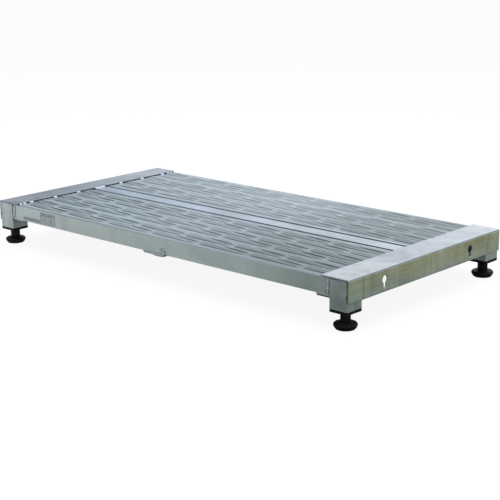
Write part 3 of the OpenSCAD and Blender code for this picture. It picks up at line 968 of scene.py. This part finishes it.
def hex_prism(flats, z0, z1, turn, chamfer, waist):
    """A hexagonal hub with chamfered corners, its sides drawn in slightly at half height."""
    levels = [(z0, chamfer), (z0 + chamfer, 0.0), ((z0 + z1) / 2, waist), (z1 - chamfer, 0.0), (z1, chamfer)]
    rings = []
    for z, inset in levels:
        apothem = flats / 2 - inset
        reach = apothem / math.cos(math.pi / 6)
        ring = []
        for k in range(6):
            a = turn + math.pi / 3 * k
            for step in (-1, 0, 1):
                da = step * HUB_CORNER / reach
                r = apothem / math.cos(math.pi / 6 - abs(da)) if step else reach - HUB_BLUNT
                ring.append((r * math.cos(a + da), r * math.sin(a + da), z))
        rings.append(ring)
    return loft(rings)


def stud_thread(radius, root, z0, z1, pitch):
    """A helical thread: every point's radius follows its height less its turn."""
    sides, rows_per_turn = 40, 8
    rows = int((z1 - z0) / pitch * rows_per_turn)
    rings = []
    for k in range(rows + 1):
        z = z0 + (z1 - z0) * k / rows
        ring = []
        for i in range(sides):
            a = 2 * math.pi * i / sides
            phase = ((z - z0) / pitch - i / sides) % 1.0
            crest = min(1.0, max(0.0, THREAD_FORM[0] - THREAD_FORM[1] * abs(phase - 0.5)))
            fade = min(1.0, (z1 - z) / pitch, (z - z0) / pitch)
            r = root + (radius - root) * crest * max(0.0, fade)
            ring.append((r * math.cos(a), r * math.sin(a), z))
        rings.append(ring)
    return loft(rings)


def pad_outline(radius, base, top):
    """A round pad: an undercut side, a rolled rim, a groove and a raised middle."""
    outline = [(0, base)] + [(radius - inset * MM, base + up * MM) for inset, up in PAD_SIDE]
    outline += arc(radius - PAD_ROLL, top - PAD_SHOULDER * MM - PAD_ROLL, PAD_ROLL, -4, 88, 9)
    return outline + [(radius - inset * MM, top - down * MM) for inset, down in PAD_TOP] + [(0, top)]


def sole_outline(radius, thick):
    """A sole with two tread rings round a hollow middle."""
    outline = [(0, SOLE_RINGS[0][1] * MM)] + [(radius - inset * MM, up * MM) for inset, up in SOLE_RINGS]
    return outline + [(radius, thick - 0.3 * MM), (radius - 0.3 * MM, thick), (0, thick)]


def stud_outline(low, head_radius, neck_z, core_top):
    """The stud below its thread: the head that turns in the pad, a neck and the core inside the hub."""
    outline = [(0, low)] + [(head_radius + out * MM, low + up * MM) for out, up in STUD_HEAD]
    neck = STUD_RADIUS - NECK_INSET * MM
    core = STUD_RADIUS - CORE_INSET * MM
    return outline + [(neck, outline[-1][1] + 0.1 * MM), (neck, neck_z + 1 * MM), (core, neck_z + 1.6 * MM),
                      (core, core_top), (0, core_top)]


def make_feet(plastic, rubber, steel):
    """The four screw feet: pad, sole, hub and threaded stud."""
    for corner in CORNERS:
        hub_low, hub_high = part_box(f"foot_hub_{corner}")
        pad_low, pad_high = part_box(f"foot_pad_{corner}")
        sole_low, sole_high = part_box(f"foot_sole_{corner}")
        stud_low, stud_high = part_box(f"foot_stud_{corner}")
        place = Matrix.Translation(((pad_low.x + pad_high.x) / 2, (pad_low.y + pad_high.y) / 2, 0))

        pad = lathe(pad_outline((pad_high.x - pad_low.x) / 2, pad_low.z, pad_high.z))
        sole = lathe(sole_outline((sole_high.x - sole_low.x) / 2, sole_high.z))
        turn = math.radians(HUB_TURN[corner])
        hub = hex_prism(HUB_FLATS, hub_low.z, hub_high.z, turn, HUB_CHAMFER, HUB_WAIST)
        thread_z = hub_high.z - THREAD_START
        head_radius = (stud_high.x - stud_low.x) / 2
        shank = lathe(stud_outline(stud_low.z, head_radius, pad_high.z, thread_z + 0.1 * MM))
        thread = stud_thread(STUD_RADIUS, STUD_RADIUS - THREAD_DEPTH, thread_z, stud_high.z, THREAD_PITCH)
        plans = (
            ("moulded_pad", "foot_pad", [pad], plastic, "pad", "black_plastic"),
            ("ribbed_sole", "foot_sole", [sole], rubber, "pad", "black_rubber"),
            ("hex_hub", "foot_hub", [hub], plastic, "screw", "black_plastic"),
            ("threaded_stud", "foot_stud", [shank, thread], steel, "screw", "zinc_steel"),
        )
        for name, node, solids, material, body, slot in plans:
            shell = Shell()
            for verts, faces in solids:
                shell.add(verts, faces, place)
            piece = new_piece(f"{name}_{corner}", shell.verts, shell.faces, material, f"{body}_{corner}",
                              smooth_angle=35)
            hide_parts(f"{node}_{corner}")


# -------------------------------- labels

def rounded_plate(low, high, radius):
    """A thin plate in the XZ plane with rounded corners; its front face looks along -Y."""
    outline = []
    for cx, cz, a0 in ((high.x - radius, high.z - radius, 0), (low.x + radius, high.z - radius, 90),
                       (low.x + radius, low.z + radius, 180), (high.x - radius, low.z + radius, 270)):
        outline += arc(cx, cz, radius, a0, a0 + 90, 6)
    back = [(x, high.y, z) for x, z in outline]
    front = [(x, low.y, z) for x, z in outline]
    return loft([back, front])


LABEL_ROUNDING = 1.5 * MM
LABEL_INSET = 1.6 * MM
LABEL_BORDER = 0.7 * MM
HEADER = (1.5 * MM, 9 * MM)  # from the border's top edge, down to its top and its foot
DOT_PLACES = (0.27, 0.74)  # shares of the label's width
DOT_HEIGHT = 0.36  # share of the label's height
DOT_RADIUS, DOT_SOFT = 2.6 * MM, 2.0 * MM
INK = (0.10, 0.12, 0.15)
DOT_RED = (0.80, 0.12, 0.10)
STRIP_BARS = 5
BAR_GAP = 0.12  # either side of a bar, as a share of its spacing
STRIP_INK = (0.22, 0.24, 0.25)


def rating_print(low, high):
    """A worn dark header band, a thin border and two small red dots."""
    def paint(n, colour):
        x0, x1 = low.x + LABEL_INSET, high.x - LABEL_INSET
        z0, z1 = low.z + LABEL_INSET, high.z - LABEL_INSET
        line = LABEL_BORDER
        inside = box_mask(n, x0 + line, x1 - line, z0 + line, z1 - line)
        border = n.math("SUBTRACT", box_mask(n, x0, x1, z0, z1), inside)
        colour = n.mix(n.times(border, 0.7), colour, INK)
        header = box_mask(n, x0 + 3 * line, x1 - 3 * line, z1 - HEADER[1], z1 - HEADER[0])
        worn = n.remap(n.noise((160,) * 3, detail=2), 0.42, 0.58, 0.12, 0.58)
        colour = n.mix(n.times(header, worn), colour, INK)
        x, _, z = n.axes(n.place)
        for share in DOT_PLACES:
            dx = n.math("SUBTRACT", x, low.x + (high.x - low.x) * share)
            dz = n.math("SUBTRACT", z, low.z + (high.z - low.z) * DOT_HEIGHT)
            reach = n.math("SQRT", n.math("ADD", n.math("POWER", dx, 2), n.math("POWER", dz, 2)))
            dot = n.remap(reach, DOT_RADIUS + DOT_SOFT, DOT_RADIUS, 0.0, 0.75)
            colour = n.mix(dot, colour, DOT_RED)
        return colour
    return paint


def strip_print(low, high):
    """A row of darker bars, like a worn blank scale."""
    def paint(n, colour):
        width = (high.x - low.x) / STRIP_BARS
        for i in range(STRIP_BARS):
            start = low.x + width * i
            bar = box_mask(n, start + BAR_GAP * width, start + (1 - BAR_GAP) * width,
                           low.z + 2 * MM, high.z - 2 * MM)
            colour = n.mix(n.times(bar, 0.45), colour, STRIP_INK)
        return colour
    return paint


def make_labels():
    """The two plates on the front rail."""
    plans = (
        ("rating_label", "rating_plate", (0.50, 0.55, 0.58), rating_print, "label_film"),
        ("strip_label", "strip_plate", (0.40, 0.44, 0.45), strip_print, "label_print"),
    )
    for node, name, ground, design, slot in plans:
        low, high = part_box(node)
        material = label_film(name + "_film", ground, design(low, high))
        verts, faces = rounded_plate(low, high, LABEL_ROUNDING)
        piece = new_piece(name, verts, faces, material, "frame", smooth_angle=30)
        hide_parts(node)


# -------------------------------- materials on the CAD nodes

def paint_nodes(names, material):
    """Gives a material to CAD nodes that keep their own mesh."""
    for name in names:
        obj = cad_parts[name]
        for s in obj.material_slots:
            s.material = material
        if not obj.material_slots:
            obj.data.materials.append(material)


def make_looks():
    """Every material, on the CAD nodes and on the new pieces."""
    deck_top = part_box("deck_centre_profile")[1].z
    leg_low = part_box("leg_tube_back_right")[0]
    beam_low, beam_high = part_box("end_beam_right")
    gusset_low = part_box("corner_gusset_front_right")[0]
    along_x, along_y, along_z = (5, 500, 500), (240, 5, 240), (300, 300, 6)

    deck = aluminium(
        "deck_aluminium", (0.775, 0.83, 0.835), along_x, roughness=0.50, streak=0.34, cloud=0.05,
        extra=sunken_shade(deck_top, TREAD_SHADE, right_shade=0.29, faded=0.62, along=TREAD_SHADE_ALONG))
    centre = aluminium(
        "centre_aluminium", (0.73, 0.745, 0.80), along_x, roughness=0.27, streak=0.10, cloud=0.26,
        relief=0.03, fineness=2, crease=0.2,
        extra=dusty_shaded_grooves(deck_top, deck_top - 5 * MM, sunken_shade(deck_top, GROOVE_SHADE)))
    rail = aluminium(
        "rail_aluminium", (0.80, 0.84, 0.84), along_x, roughness=0.40, streak=0.06, edge=0.15,
        extra=rail_stains_and_shade(deck_top))
    beam = aluminium(
        "beam_aluminium", (0.81, 0.83, 0.84), along_y, roughness=0.30, streak=0.09, cloud=0.19,
        relief=0.03, fineness=1, rounding=3.4 * MM, edge_top=deck_top,
        extra=beam_stains_and_shade(leg_low.y, beam_low.x, deck_top, beam_high))
    leg = aluminium(
        "leg_aluminium", (0.76, 0.79, 0.78), along_z, roughness=0.36, streak=0.10, cloud=0.24, relief=0.10,
        extra=upright_stains(0.42, reach=40))
    mill = aluminium("mill_aluminium", (0.70, 0.73, 0.74), along_y, roughness=0.42)
    gusset = aluminium(
        "gusset_aluminium", (0.76, 0.79, 0.80), along_y, roughness=0.50,
        extra=shaded_plate_foot(gusset_low.z, 3.5 * MM))
    # The tack beads' pale bluish white, half metallic so that it stays white whatever they mirror, is a
    # painted glint
    tack = weld_metal("tack_weld_painted_glint", (0.80, 0.83, 0.96), (0.66, 0.69, 0.80), metallic=0.5)
    weld = weld_metal("weld_aluminium", (0.76, 0.80, 0.84), (0.52, 0.56, 0.58), metallic=0.6)
    brace = weld_metal("brace_weld", (0.80, 0.83, 0.86), (0.50, 0.53, 0.54), metallic=0.8)
    # Dark weld metal: weld smoke, dark seams, and the painted shadow round the brace hooks
    smoked = weld_metal("smoke_and_shadow_weld", (0.30, 0.32, 0.33), (0.13, 0.14, 0.14))
    steel = zinc()
    plastic = moulded("black_plastic", (0.003, 0.003, 0.003), (0.008, 0.008, 0.008), 0.42)
    rubber = moulded("black_rubber", (0.014, 0.014, 0.014), (0.030, 0.029, 0.028), 0.72,
                     grain=900, bump=0.4)

    paint_nodes(["deck_centre_profile"], centre)
    paint_nodes([f"side_rail_{s}" for s in SIDES], rail)
    paint_nodes([f"end_beam_{e}" for e in ENDS], beam)
    paint_nodes([f"leg_tube_{c}" for c in CORNERS], leg)
    paint_nodes(["cross_member"] + [f"end_support_{e}" for e in ENDS], mill)
    paint_nodes([f"corner_gusset_{c}" for c in CORNERS], gusset)
    paint_nodes([f"leg_plug_{c}" for c in CORNERS], plastic)
    paint_nodes([f"plug_nut_{c}" for c in CORNERS], steel)

    make_planks(deck)
    make_deck_welds(tack)
    make_frame_welds(weld, smoked)
    make_brace_welds(brace, smoked)
    make_seams(smoked)
    make_feet(plastic, rubber, steel)
    make_labels()


make_camera()
make_floor()
make_world()
make_lights()
make_looks()
